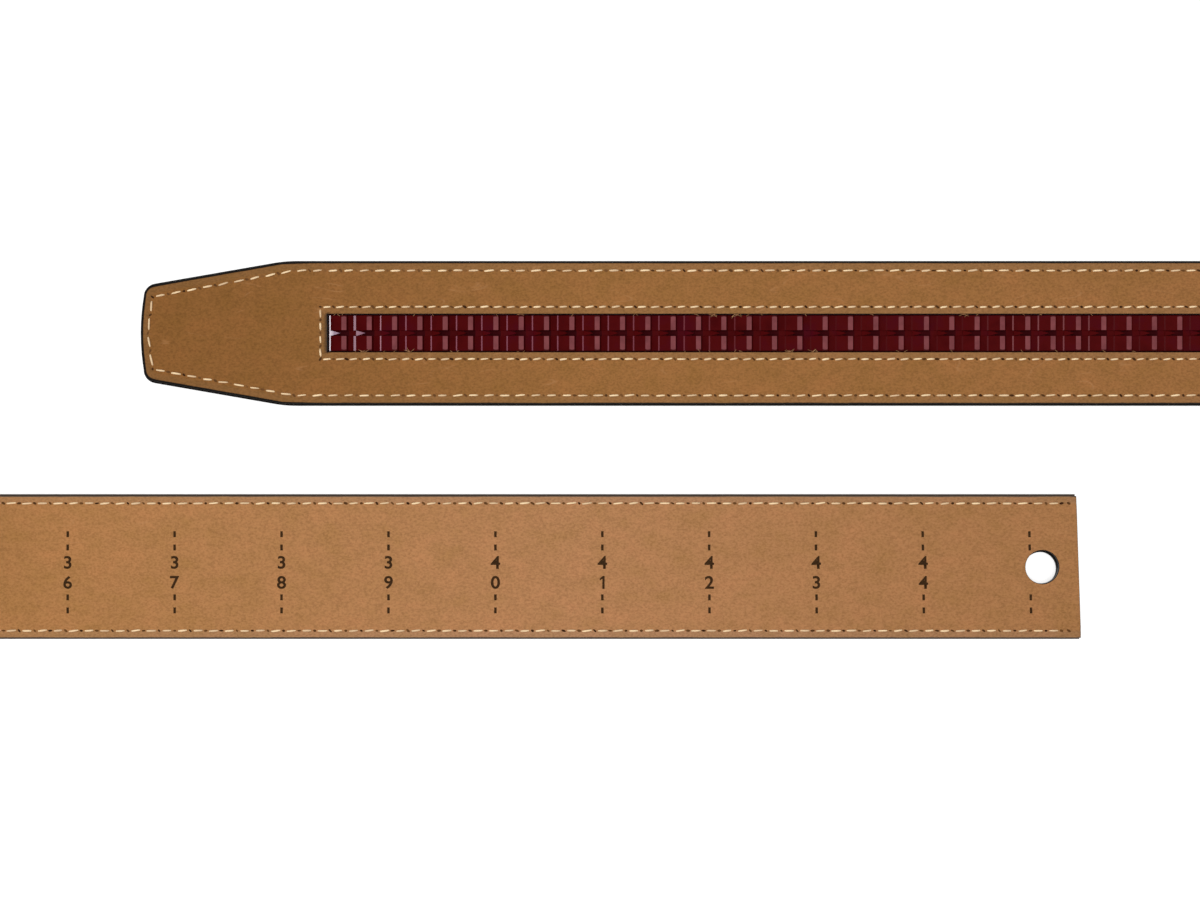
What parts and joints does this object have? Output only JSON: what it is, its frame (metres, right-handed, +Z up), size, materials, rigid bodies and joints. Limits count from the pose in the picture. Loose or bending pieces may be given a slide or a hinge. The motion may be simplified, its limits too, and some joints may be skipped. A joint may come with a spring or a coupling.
{
  "type": "ratchet belt strap",
  "caption": "Leather ratchet belt strap laid back up, with a toothed track in a stitched window at its tapered tip and a screw hole at its cut end.",
  "frame": {"origin": "on the table, under the middle of the whole laid-out loop", "axes": "+X from the tapered tip along the toothed end, +Y from the front run towards the toothed end, +Z up, out of the lining of both flat ends"},
  "size_m": [0.5042, 0.1632, 0.0346],
  "materials": {
    "face_leather": "black outer leather with painted edges",
    "lining_leather": "tan nubuck lining, dry and matt",
    "ratchet_track": "dark red moulded plastic, glossy with satin tooth lands"
  },
  "bodies": {
    "root": {"face_leather": "face_leather", "lining_leather": "lining_leather", "ratchet_track": "ratchet_track"}
  },
  "joints": []
}
